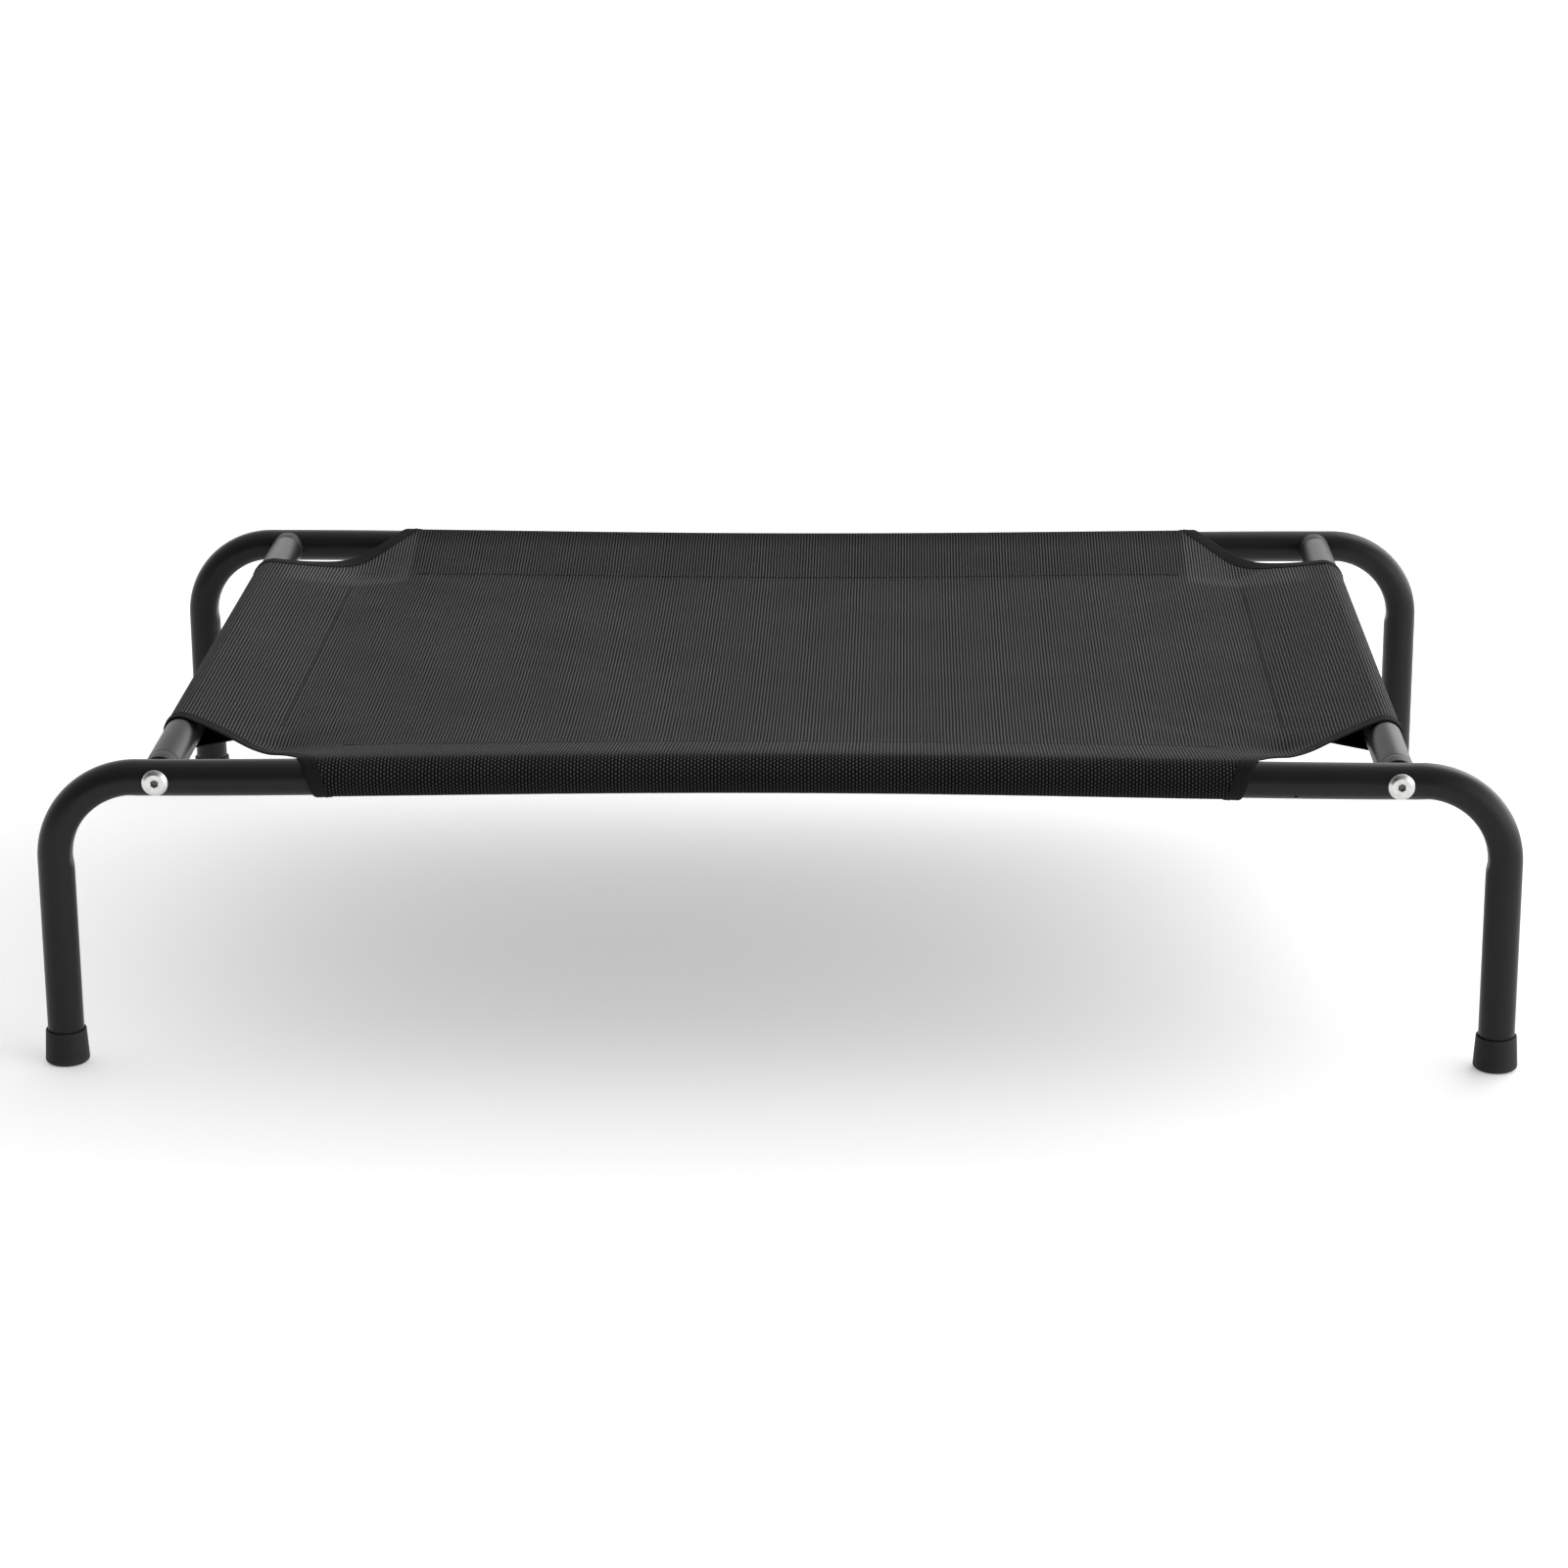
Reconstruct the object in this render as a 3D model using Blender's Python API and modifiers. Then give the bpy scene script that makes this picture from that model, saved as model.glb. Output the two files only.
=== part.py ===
"""Raised dog bed: a mesh sling stretched over a bolted frame of bent steel tube.

Metres, +Z up. The origin is on the floor under the middle of the bed. X runs along the long
side rails, Y from front (-Y) to rear (+Y). Each side frame is one tube whose ends bend down
into legs. Two crossbars join the side frames, with a saddle plug, a captive nut and a flat-head
bolt at each of the four joints. The sling's top layer is the panel. Its four edges turn round
the tubes as sleeves and come back underneath to the seams.
"""

import math

import bmesh
import bpy
from mathutils import Vector

# Frame tubes
TUBE_R = 0.0125
TUBE_WALL = 0.0012
TUBE_BEVEL_RESOLUTION = 8
RAIL_Z = 0.206
RAIL_Y = 0.320
RAIL_BOW = 0.014
RAIL_STEPS = 10
LEG_X = 0.493
BEND_R = 0.058
BEND_STEPS = 7
CROSSBAR_X = 0.420
VENT_X = 0.350
VENT_R = 0.00125
VENT_ANGLE = math.radians(45)

# Joints between crossbars and side rails
GAP = 0.0003
TURN_STEPS = 24
COLLAR_START = 0.0075
COLLAR_END = 0.0225
PLUG_END = 0.0475
BOLT_R = 0.003
BOLT_HEAD_R = 0.009
BOLT_HEAD_FLAT_R = 0.0063
BOLT_HEAD_DEPTH = 0.0026
BOLT_RIM = 0.0014
BOLT_END = 0.050
BOLT_TIP = 0.001
SOCKET_FLATS = 0.005
SOCKET_DEPTH = 0.0021
NUT_FLATS = 0.010
NUT_DEPTH = 0.005

# Foot caps
CAP_HEIGHT = 0.024
CAP_FLOOR = 0.0035
CAP_TOP_R = 0.0140
CAP_LIP_R = 0.0144
CAP_LIP = 0.0016
CAP_FOOT_R = 0.0153
CAP_EDGE = 0.002

# Sling
FABRIC = 0.0012
FABRIC_R = TUBE_R + 0.0014
SEAM_Z = 0.203
SEAM_X = 0.349
SEAM_Y = 0.235
PANEL_SAG = 0.006
PANEL_COLUMNS = 24
PANEL_ROWS = 18
SCOOP_X = 0.324
SCOOP_Y = 0.217
SCOOP_PULL_X = 0.366
SCOOP_PULL_Y = 0.238
SLEEVE_TAPER_X = 0.020
SLEEVE_TAPER_Y = 0.030
SLEEVE_COLUMNS = 12
SLEEVE_ARC_STEPS = 8
SLEEVE_FLAT_STEPS = 2
BINDING_WIDTH = 0.010
BINDING_THICK = 0.0014
BINDING_STEPS = 12
CUTTER_MARGIN = 0.03

SMOOTH_ANGLE = math.radians(32)


# ---------------------------------------------------------------- helpers


def clear_scene():
    for obj in list(bpy.data.objects):
        bpy.data.objects.remove(obj)


def new_collection(name):
    collection = bpy.data.collections.new(name)
    bpy.context.scene.collection.children.link(collection)
    return collection


def principled(name, colour, roughness, metallic):
    material = bpy.data.materials.new(name)
    material.use_nodes = True
    shader = material.node_tree.nodes["Principled BSDF"]
    shader.inputs["Base Color"].default_value = (*colour, 1.0)
    shader.inputs["Roughness"].default_value = roughness
    shader.inputs["Metallic"].default_value = metallic
    material.diffuse_color = (*colour, 1.0)
    return material


def place(name, mesh, collection, material, parent=None):
    """A named sub-part that shows the mesh, with its material and smooth round faces."""
    obj = bpy.data.objects.new(name, mesh)
    collection.objects.link(obj)
    if not mesh.materials:
        mesh.materials.append(material)
    mesh.shade_smooth()
    mesh.set_sharp_from_angle(angle=SMOOTH_ANGLE)
    obj.parent = parent
    return obj


def scratch(data):
    """A working object, in the scene only until its shape has been read."""
    obj = bpy.data.objects.new("scratch", data)
    bpy.context.scene.collection.objects.link(obj)
    return obj


def settle(obj, name):
    """The object's shape with its modifiers applied, as a welded mesh. The object is removed."""
    graph = bpy.context.evaluated_depsgraph_get()
    mesh = bpy.data.meshes.new_from_object(obj.evaluated_get(graph), depsgraph=graph)
    mesh.name = name
    mesh.transform(obj.matrix_world)
    bpy.data.objects.remove(obj)
    shape = bmesh.new()
    shape.from_mesh(mesh)
    bmesh.ops.remove_doubles(shape, verts=shape.verts, dist=1e-6)
    bmesh.ops.recalc_face_normals(shape, faces=shape.faces)
    shape.to_mesh(mesh)
    shape.free()
    return mesh


def cut(obj, cutters):
    """Takes the cutters out of the object, and removes them."""
    bpy.context.view_layer.update()
    for cutter in cutters:
        boolean = obj.modifiers.new("cut", "BOOLEAN")
        boolean.operation = "DIFFERENCE"
        boolean.solver = "EXACT"
        boolean.object = cutter
    mesh = settle(obj, "cut")
    for cutter in cutters:
        bpy.data.objects.remove(cutter)
    return mesh


def turned(profile, closed=False):
    """A mesh turned about Z from (radius, height) points that run down the outer side."""
    mesh = bpy.data.meshes.new("profile")
    count = len(profile)
    edges = [(i, (i + 1) % count) for i in range(count if closed else count - 1)]
    mesh.from_pydata([(radius, 0, height) for radius, height in profile], edges, [])
    obj = scratch(mesh)
    screw = obj.modifiers.new("turn", "SCREW")
    screw.steps = TURN_STEPS
    screw.render_steps = TURN_STEPS
    screw.use_merge_vertices = True
    screw.merge_threshold = 1e-5
    return settle(obj, "turned")


def cylinder(radius, length, centre, direction, sides=TURN_STEPS):
    """A working cylinder or prism, centred on a point, along a direction."""
    shape = bmesh.new()
    bmesh.ops.create_cone(
        shape, cap_ends=True, segments=sides, radius1=radius, radius2=radius, depth=length
    )
    mesh = bpy.data.meshes.new("cylinder")
    shape.to_mesh(mesh)
    shape.free()
    obj = scratch(mesh)
    obj.location = centre
    obj.rotation_mode = "QUATERNION"
    obj.rotation_quaternion = Vector(direction).to_track_quat("Z", "Y")
    return obj


def corner_radius(flats):
    """A hexagon's corner radius, from its size across flats."""
    return flats / math.sqrt(3)


def tube(points):
    """An open steel tube along a path, its wall thickness inside the outer radius."""
    curve = bpy.data.curves.new("path", "CURVE")
    curve.dimensions = "3D"
    spline = curve.splines.new("POLY")
    spline.points.add(len(points) - 1)
    for target, point in zip(spline.points, points):
        target.co = (*point, 1)
    curve.bevel_depth = TUBE_R
    curve.bevel_resolution = TUBE_BEVEL_RESOLUTION
    skin = scratch(settle(scratch(curve), "skin"))
    wall = skin.modifiers.new("wall", "SOLIDIFY")
    wall.thickness = TUBE_WALL
    wall.offset = -1
    return skin


def sheet(columns, rows, point, thickness):
    """Cloth of one thickness: a grid whose corners (u, v), from -1 to 1, go where point() says."""
    shape = bmesh.new()
    bmesh.ops.create_grid(shape, x_segments=columns, y_segments=rows, size=1)
    for vert in shape.verts:
        vert.co = point(vert.co.x, vert.co.y)
    mesh = bpy.data.meshes.new("sheet")
    shape.to_mesh(mesh)
    shape.free()
    obj = scratch(mesh)
    cloth = obj.modifiers.new("cloth", "SOLIDIFY")
    cloth.thickness = thickness
    cloth.offset = 0
    return obj


# ---------------------------------------------------------------- frame


def rail_bow(x):
    """How far the sling's pull draws a side rail inwards at x, nothing at the crossbars."""
    return RAIL_BOW * (1 - min(abs(x) / CROSSBAR_X, 1) ** 2) ** 2


def half_frame_path():
    """The front side frame's axis from the middle of its rail to the end of the right leg."""
    rail = [
        (x, -RAIL_Y + rail_bow(x), RAIL_Z)
        for x in (CROSSBAR_X * step / (RAIL_STEPS / 2) for step in range(RAIL_STEPS // 2 + 1))
    ]
    bend = [
        (
            LEG_X - BEND_R + BEND_R * math.sin(angle),
            -RAIL_Y,
            RAIL_Z - BEND_R + BEND_R * math.cos(angle),
        )
        for angle in (math.pi / 2 * step / BEND_STEPS for step in range(BEND_STEPS + 1))
    ]
    return rail + bend + [(LEG_X, -RAIL_Y, CAP_FLOOR + GAP)]


def side_frame_mesh():
    right = half_frame_path()
    left = [(-x, y, z) for x, y, z in reversed(right[1:])]
    bolt_holes = [
        cylinder(BOLT_R + GAP, 4 * TUBE_R, (side * CROSSBAR_X, -RAIL_Y, RAIL_Z), (0, 1, 0))
        for side in (-1, 1)
    ]
    outwards = Vector((0, -math.cos(VENT_ANGLE), -math.sin(VENT_ANGLE)))
    axis_point = Vector((VENT_X, -RAIL_Y + rail_bow(VENT_X), RAIL_Z))
    vent = cylinder(VENT_R, TUBE_R, axis_point + TUBE_R * outwards, outwards, sides=12)
    return cut(tube(left + right), [*bolt_holes, vent])


def saddle_plug_mesh():
    """An end plug. Its +Z points outwards, and the rail's axis lies along X at its origin."""
    bore = BOLT_R + GAP
    insert_r = TUBE_R - TUBE_WALL - GAP
    profile = [
        (bore, -COLLAR_START),
        (TUBE_R, -COLLAR_START),
        (TUBE_R, -COLLAR_END),
        (insert_r, -COLLAR_END),
        (insert_r, -PLUG_END),
        (bore, -PLUG_END),
    ]
    body = scratch(turned(profile, closed=True))
    saddle = cylinder(TUBE_R + GAP, 4 * TUBE_R, (0, 0, 0), (1, 0, 0), sides=2 * TURN_STEPS)
    pocket_r = corner_radius(NUT_FLATS + 2 * GAP)
    pocket = cylinder(pocket_r, 2 * (NUT_DEPTH + GAP), (0, 0, -PLUG_END), (0, 0, 1), sides=6)
    return cut(body, [saddle, pocket])


def captive_nut_mesh():
    middle = (0, 0, -PLUG_END + NUT_DEPTH / 2)
    body = cylinder(corner_radius(NUT_FLATS), NUT_DEPTH, middle, (0, 0, 1), sides=6)
    return cut(body, [cylinder(BOLT_R + GAP, 3 * NUT_DEPTH, middle, (0, 0, 1))])


def connector_bolt_mesh():
    under = TUBE_R + GAP
    face = under + BOLT_HEAD_DEPTH
    profile = [
        (0, face),
        (BOLT_HEAD_FLAT_R, face),
        (BOLT_HEAD_R, face - BOLT_RIM),
        (BOLT_HEAD_R, under),
        (BOLT_R, under),
        (BOLT_R, -BOLT_END + BOLT_TIP),
        (BOLT_R - BOLT_TIP, -BOLT_END),
        (0, -BOLT_END),
    ]
    socket_r = corner_radius(SOCKET_FLATS)
    socket = cylinder(socket_r, 2 * SOCKET_DEPTH, (0, 0, face), (0, 0, 1), sides=6)
    return cut(scratch(turned(profile)), [socket])


def foot_cap_mesh():
    bore = TUBE_R + GAP
    return turned(
        [
            (0, CAP_FLOOR),
            (bore, CAP_FLOOR),
            (bore, CAP_HEIGHT),
            (CAP_LIP_R, CAP_HEIGHT),
            (CAP_LIP_R, CAP_HEIGHT - CAP_LIP),
            (CAP_TOP_R, CAP_HEIGHT - CAP_LIP),
            (CAP_FOOT_R, CAP_EDGE),
            (CAP_FOOT_R - CAP_EDGE, 0),
            (0, 0),
        ]
    )


def crossbar_mesh():
    end = RAIL_Y - COLLAR_END - GAP
    return settle(tube([(0, -end, 0), (0, end, 0)]), "crossbar")


# ---------------------------------------------------------------- sling


def panel_z(x, y):
    """The middle of the panel's thickness: straight slopes from the tubes down to the seams."""
    slope_x = max(0, (abs(x) - SEAM_X) / (CROSSBAR_X - SEAM_X))
    slope_y = max(0, (abs(y) - SEAM_Y) / (RAIL_Y - SEAM_Y))
    rise = 1 - (1 - min(slope_x, 1)) * (1 - min(slope_y, 1))
    sag = max(0, 1 - (x / SEAM_X) ** 2) * max(0, 1 - (y / SEAM_Y) ** 2)
    return SEAM_Z + rise * (RAIL_Z + FABRIC_R - SEAM_Z) - PANEL_SAG * sag


def panel_point(u, v):
    """A point of the whole rectangle between the tubes' axes, before its corners are scooped."""
    x = u * (CROSSBAR_X - GAP)
    y = v * (RAIL_Y - GAP)
    return Vector((x, y - v * rail_bow(x), panel_z(x, y)))


def scoop_point(t, inset):
    """The scooped edge of the +X +Y corner, from the crossbar's top to the rail's, moved inwards."""
    start = Vector((CROSSBAR_X - GAP, SCOOP_Y))
    pull = Vector((SCOOP_PULL_X, SCOOP_PULL_Y))
    end = Vector((SCOOP_X, RAIL_Y - rail_bow(SCOOP_X) - GAP))
    point = (1 - t) ** 2 * start + 2 * t * (1 - t) * pull + t**2 * end
    tangent = (1 - t) * (pull - start) + t * (end - pull)
    inwards = Vector((-tangent.y, tangent.x)).normalized()
    return point + inset * inwards


def corner_cutter(side_x, side_y):
    """What a scooped corner takes off the panel, with room for the binding."""
    inset = BINDING_WIDTH + GAP
    edge = [scoop_point(step / BINDING_STEPS, inset) for step in range(BINDING_STEPS + 1)]
    first = edge[0] + Vector((CUTTER_MARGIN, 0))
    last = edge[-1] + Vector((0, CUTTER_MARGIN))
    outline = [first, *edge, last, Vector((first.x, last.y))]
    curve = bpy.data.curves.new("corner", "CURVE")
    curve.dimensions = "2D"
    curve.fill_mode = "BOTH"
    curve.extrude = CUTTER_MARGIN
    spline = curve.splines.new("POLY")
    spline.points.add(len(outline) - 1)
    for target, point in zip(spline.points, outline):
        target.co = (side_x * point.x, side_y * point.y, 0, 1)
    spline.use_cyclic_u = True
    obj = scratch(settle(scratch(curve), "corner"))
    obj.location.z = RAIL_Z
    return obj


def panel_mesh():
    cutters = [corner_cutter(side_x, side_y) for side_x in (-1, 1) for side_y in (-1, 1)]
    return cut(sheet(PANEL_COLUMNS, PANEL_ROWS, panel_point, FABRIC), cutters)


def binding_mesh(side_x, side_y):
    """The tape along one scooped corner, beside the panel's cut edge."""

    def point(u, v):
        flat = scoop_point((u + 1) / 2, (v + 1) / 2 * BINDING_WIDTH)
        return Vector((side_x * flat.x, side_y * flat.y, panel_z(flat.x, flat.y)))

    return settle(sheet(BINDING_STEPS, 1, point, BINDING_THICK), "binding")


def sleeve_section(row, reach):
    """One row of a sleeve: its place inwards and up from the tube's axis, and its way along the cloth.

    The cloth starts on top of the tube, goes over its outer side and comes back below to the seam.
    """
    angle = math.pi * min(row / SLEEVE_ARC_STEPS, 1)
    run = reach * max(row - SLEEVE_ARC_STEPS, 0) / SLEEVE_FLAT_STEPS
    rise = run / reach * (SEAM_Z - FABRIC - GAP - RAIL_Z + FABRIC_R)
    inwards = run - FABRIC_R * math.sin(angle)
    up = rise + FABRIC_R * math.cos(angle)
    return inwards, up, FABRIC_R * angle + run


def sleeve_mesh(length, taper, reach, at):
    """A sleeve whose half length shrinks by taper from the top of the tube to the seam."""
    rows = SLEEVE_ARC_STEPS + SLEEVE_FLAT_STEPS
    whole_way = math.pi * FABRIC_R + reach

    def point(u, v):
        inwards, up, way = sleeve_section(round((v + 1) / 2 * rows), reach)
        return at(u * (length - taper * way / whole_way), inwards, up)

    return settle(sheet(SLEEVE_COLUMNS, rows, point, FABRIC), "sleeve")


def rail_sleeve_mesh(side):
    def at(along, inwards, up):
        out = RAIL_Y - rail_bow(along) - inwards
        return Vector((along, side * out, RAIL_Z + up))

    return sleeve_mesh(SCOOP_X, SLEEVE_TAPER_X, RAIL_Y - SEAM_Y, at)


def crossbar_sleeve_mesh(side):
    def at(along, inwards, up):
        return Vector((side * (CROSSBAR_X - inwards), along, RAIL_Z + up))

    return sleeve_mesh(SCOOP_Y, SLEEVE_TAPER_Y, CROSSBAR_X - SEAM_X, at)


# ---------------------------------------------------------------- assembly


def build_frame(bed):
    steel = principled("black powder-coated steel", (0.035, 0.036, 0.038), 0.42, 0.0)
    plastic = principled("black plastic", (0.02, 0.02, 0.021), 0.5, 0.0)
    bright = principled("bright plated steel", (0.78, 0.77, 0.75), 0.18, 1.0)
    zinc = principled("zinc-plated steel", (0.6, 0.61, 0.62), 0.35, 1.0)
    rubber = principled("black rubber", (0.018, 0.018, 0.019), 0.62, 0.0)

    frame_mesh = side_frame_mesh()
    place("front_side_frame", frame_mesh, bed, steel)
    rear = place("rear_side_frame", frame_mesh, bed, steel)
    rear.rotation_euler.z = math.pi

    bar_mesh = crossbar_mesh()
    plug_mesh = saddle_plug_mesh()
    nut_mesh = captive_nut_mesh()
    bolt_mesh = connector_bolt_mesh()
    cap_mesh = foot_cap_mesh()
    for side_x, across in ((-1, "left"), (1, "right")):
        bar = place(f"{across}_crossbar", bar_mesh, bed, steel)
        bar.location = (side_x * CROSSBAR_X, 0, RAIL_Z)
        for side_y, along in ((-1, "front"), (1, "rear")):
            corner = f"{along}_{across}"
            joint = bpy.data.objects.new(f"{corner}_joint", None)
            bed.objects.link(joint)
            joint.location = (side_x * CROSSBAR_X, side_y * RAIL_Y, RAIL_Z)
            joint.rotation_euler.x = -side_y * math.pi / 2
            place(f"saddle_plug_{corner}", plug_mesh, bed, plastic, joint)
            place(f"captive_nut_{corner}", nut_mesh, bed, zinc, joint)
            place(f"connector_bolt_{corner}", bolt_mesh, bed, bright, joint)
            cap = place(f"foot_cap_{corner}", cap_mesh, bed, rubber)
            cap.location = (side_x * LEG_X, side_y * RAIL_Y, 0)


def build_sling(bed):
    mesh_cloth = principled("black mesh cloth", (0.02, 0.02, 0.021), 0.7, 0.0)
    tape = principled("black binding tape", (0.024, 0.024, 0.025), 0.65, 0.0)

    place("sling_panel", panel_mesh(), bed, mesh_cloth)
    for side, word in ((-1, "front"), (1, "rear")):
        place(f"{word}_sleeve", rail_sleeve_mesh(side), bed, mesh_cloth)
    for side, word in ((-1, "left"), (1, "right")):
        place(f"{word}_sleeve", crossbar_sleeve_mesh(side), bed, mesh_cloth)
    for side_x, across in ((-1, "left"), (1, "right")):
        for side_y, along in ((-1, "front"), (1, "rear")):
            place(f"corner_binding_{along}_{across}", binding_mesh(side_x, side_y), bed, tape)


def build():
    clear_scene()
    bed = new_collection("dog_bed_with_frame")
    build_frame(bed)
    build_sling(bed)


build()
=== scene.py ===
"""Looks of the raised dog bed: powder-coated tube frame, woven mesh sling, floor, light and camera.

Metres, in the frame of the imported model. The sling is described on its own unrolled plane. Over
the top a is X, and b is Y as it would be with straight rails. Beyond a tube's axis they count the
way round the tube and back to the seam. cloth_point(a, b) says where that place lies on the bed.
"""

import math

import bmesh
import bpy
import numpy as np
from mathutils import Matrix, Vector


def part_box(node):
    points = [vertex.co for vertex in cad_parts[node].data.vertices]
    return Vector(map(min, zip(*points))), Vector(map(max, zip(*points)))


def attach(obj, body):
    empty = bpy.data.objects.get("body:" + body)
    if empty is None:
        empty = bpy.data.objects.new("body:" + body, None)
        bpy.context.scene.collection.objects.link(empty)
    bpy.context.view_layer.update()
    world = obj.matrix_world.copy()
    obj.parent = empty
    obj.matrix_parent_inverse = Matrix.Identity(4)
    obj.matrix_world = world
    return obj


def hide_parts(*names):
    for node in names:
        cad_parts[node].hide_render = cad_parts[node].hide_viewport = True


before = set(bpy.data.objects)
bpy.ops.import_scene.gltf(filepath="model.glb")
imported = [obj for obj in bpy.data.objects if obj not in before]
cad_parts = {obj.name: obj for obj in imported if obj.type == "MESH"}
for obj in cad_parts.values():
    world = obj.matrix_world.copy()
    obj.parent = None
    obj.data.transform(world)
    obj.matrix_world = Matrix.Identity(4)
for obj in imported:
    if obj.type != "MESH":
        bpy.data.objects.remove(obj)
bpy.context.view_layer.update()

BODY = "root"

# ---------------------------------------------------------------- sizes read from the frame

BAR_LOW, BAR_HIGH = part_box("right_crossbar")
CAP_LOW, CAP_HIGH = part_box("foot_cap_rear_right")
BOLT_LOW, BOLT_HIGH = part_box("connector_bolt_rear_right")
PLUG_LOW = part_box("saddle_plug_rear_right")[0]
SLEEVE_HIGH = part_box("rear_sleeve")[1]

TUBE_R = (BAR_HIGH.x - BAR_LOW.x) / 2
CROSSBAR_X = (BAR_HIGH.x + BAR_LOW.x) / 2
CROSSBAR_END = BAR_HIGH.y
RAIL_Z = (BAR_HIGH.z + BAR_LOW.z) / 2
LEG_X = (CAP_HIGH.x + CAP_LOW.x) / 2
RAIL_Y = (CAP_HIGH.y + CAP_LOW.y) / 2
CAP_HEIGHT = CAP_HIGH.z
CAP_FOOT_R = (CAP_HIGH.x - CAP_LOW.x) / 2
BOLT_HEAD_R = (BOLT_HIGH.x - BOLT_LOW.x) / 2
BOLT_FACE = BOLT_HIGH.y - RAIL_Y
BOLT_END = RAIL_Y - BOLT_LOW.y
PLUG_END = RAIL_Y - PLUG_LOW.y
SCOOP_X = SLEEVE_HIGH.x

# ---------------------------------------------------------------- sizes shared with the CAD source

GAP = 0.0003
TUBE_WALL = 0.0012
RAIL_BOW = 0.014
BEND_R = 0.058
LEG_END = 0.0038
VENT_X = 0.350
VENT_R = 0.00125
VENT_ANGLE = math.radians(45)
BOLT_R = 0.003
BOLT_FLAT_R = 0.0063
BOLT_RIM = 0.0014
SOCKET_R = 0.0029
SOCKET_DEPTH = 0.0021
COLLAR_START = 0.0075
NUT_POCKET_R = 0.0061
NUT_POCKET_DEPTH = 0.0053
CAP_FLOOR = 0.0035
CAP_TOP_R = 0.0140
CAP_LIP = 0.0016
CAP_EDGE = 0.002
SEAM_DROP = -0.003
REACH_X = 0.071
REACH_Y = 0.085
SAG = 0.006
TAPER_X = 0.020
TAPER_Y = 0.030

# ---------------------------------------------------------------- finer shape

SAME_PLACE = 2e-6
TUBE_SIDES = 56

# the inner side of each bend, pressed flat: how deep, how softly, how much wider, and where
FLAT_DEPTH = 0.0014
FLAT_BLEND = 0.0016
FLAT_WIDENING = 0.012
BEND_PRESSED = (-0.005, 0.009)
LEG_PRESSED = (-0.001, 0.008)

# the cloth, its thickness, its scooped corners, and what is uneven in it
CLOTH = 0.0005
CLOTH_R = TUBE_R + 0.0009
CLOTH_STEP = 0.005
ARC_STEPS = 26
FLAP_CLEARANCE = 0.0014
CREASE = 0.045
SCOOP_Y = 0.221
SCOOP_PULL = (0.367, 0.241)
TAPER_SLANT = 0.017
TAPER_START = 0.035
EDGE_STEP = 0.001
EDGE_SMOOTHING = 7.0
EDGE_MARGIN = 0.003
CORNER_DROOP = 0.0055
DROOP_PLACE, DROOP_REACH = (0.352, 0.262), (0.035, 0.035)
WAVE_HEIGHT = 0.00035
FOLD_HEIGHT = 0.00045
FOLD_WAVES = 150.0
FOLD_PLACE, FOLD_REACH = (0.33, 0.21), (0.09, 0.08)

# the tape, the seams and the stitches
TAPE_WIDTH = 0.010
TAPE_INNER = 0.0003
TAPE_OUTER = 0.0008
TAPE_TURN = 0.0008
TAPE_NOSE = 0.0006
TAPE_STEP = 0.003
TAPE_SEAM = 0.007
SEAM_MARGIN = 0.004
STITCH_PITCH = 0.0032
STITCH_LENGTH = 0.0029
EDGE_THREAD_R = 0.00034
SEAM_THREAD_R = 0.00052
PROBE_STEP = 0.0004

# the materials' patterns, and the rear corners, where the cloth is one layer and painted light
# stands for the bright floor seen through it
WARP_PITCH = 0.00233
WEFT_PITCH = 0.00145
TAPE_RIB_PITCH = 0.0011
TAPE_CROSS_PITCH = 0.0008
RING_PITCH = 0.0007
SINGLE_X = 0.311
SINGLE_SLANT = 0.51
SINGLE_FROM = 0.374


# ---------------------------------------------------------------- mesh helpers


def mesh_object(name, points, faces, material, uvs=None, sharp=35):
    """A smooth-shaded object of these points and faces. uvs gives (u, v) for each point."""
    mesh = bpy.data.meshes.new(name)
    mesh.from_pydata([tuple(point) for point in points], [], faces)
    if uvs is not None:
        layer = mesh.uv_layers.new(name="cloth")
        corners = np.empty(len(mesh.loops), np.int32)
        mesh.loops.foreach_get("vertex_index", corners)
        layer.data.foreach_set("uv", np.asarray(uvs, np.float32)[corners].ravel())
    mesh.validate()
    mesh.materials.append(material)
    mesh.shade_smooth()
    mesh.set_sharp_from_angle(angle=math.radians(sharp))
    obj = bpy.data.objects.new(name, mesh)
    bpy.context.scene.collection.objects.link(obj)
    return obj


def cleaned(obj):
    """Joins points that coincide, drops empty faces, splits many-sided ones, turns all outwards."""
    shape = bmesh.new()
    shape.from_mesh(obj.data)
    bmesh.ops.remove_doubles(shape, verts=shape.verts, dist=SAME_PLACE)
    bmesh.ops.dissolve_degenerate(shape, edges=shape.edges, dist=SAME_PLACE)
    bmesh.ops.triangulate(shape, faces=[face for face in shape.faces if len(face.verts) > 4])
    bmesh.ops.recalc_face_normals(shape, faces=shape.faces)
    shape.to_mesh(obj.data)
    shape.free()
    return obj


def prism(radius, depth, centre, direction, sides=48):
    """A working cylinder or hexagon for a cut."""
    shape = bmesh.new()
    bmesh.ops.create_cone(
        shape, cap_ends=True, segments=sides, radius1=radius, radius2=radius, depth=depth
    )
    mesh = bpy.data.meshes.new("cutter")
    shape.to_mesh(mesh)
    shape.free()
    turn = Vector(direction).to_track_quat("Z", "Y").to_matrix().to_4x4()
    mesh.transform(Matrix.Translation(centre) @ turn)
    obj = bpy.data.objects.new("cutter", mesh)
    bpy.context.scene.collection.objects.link(obj)
    return obj


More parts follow.
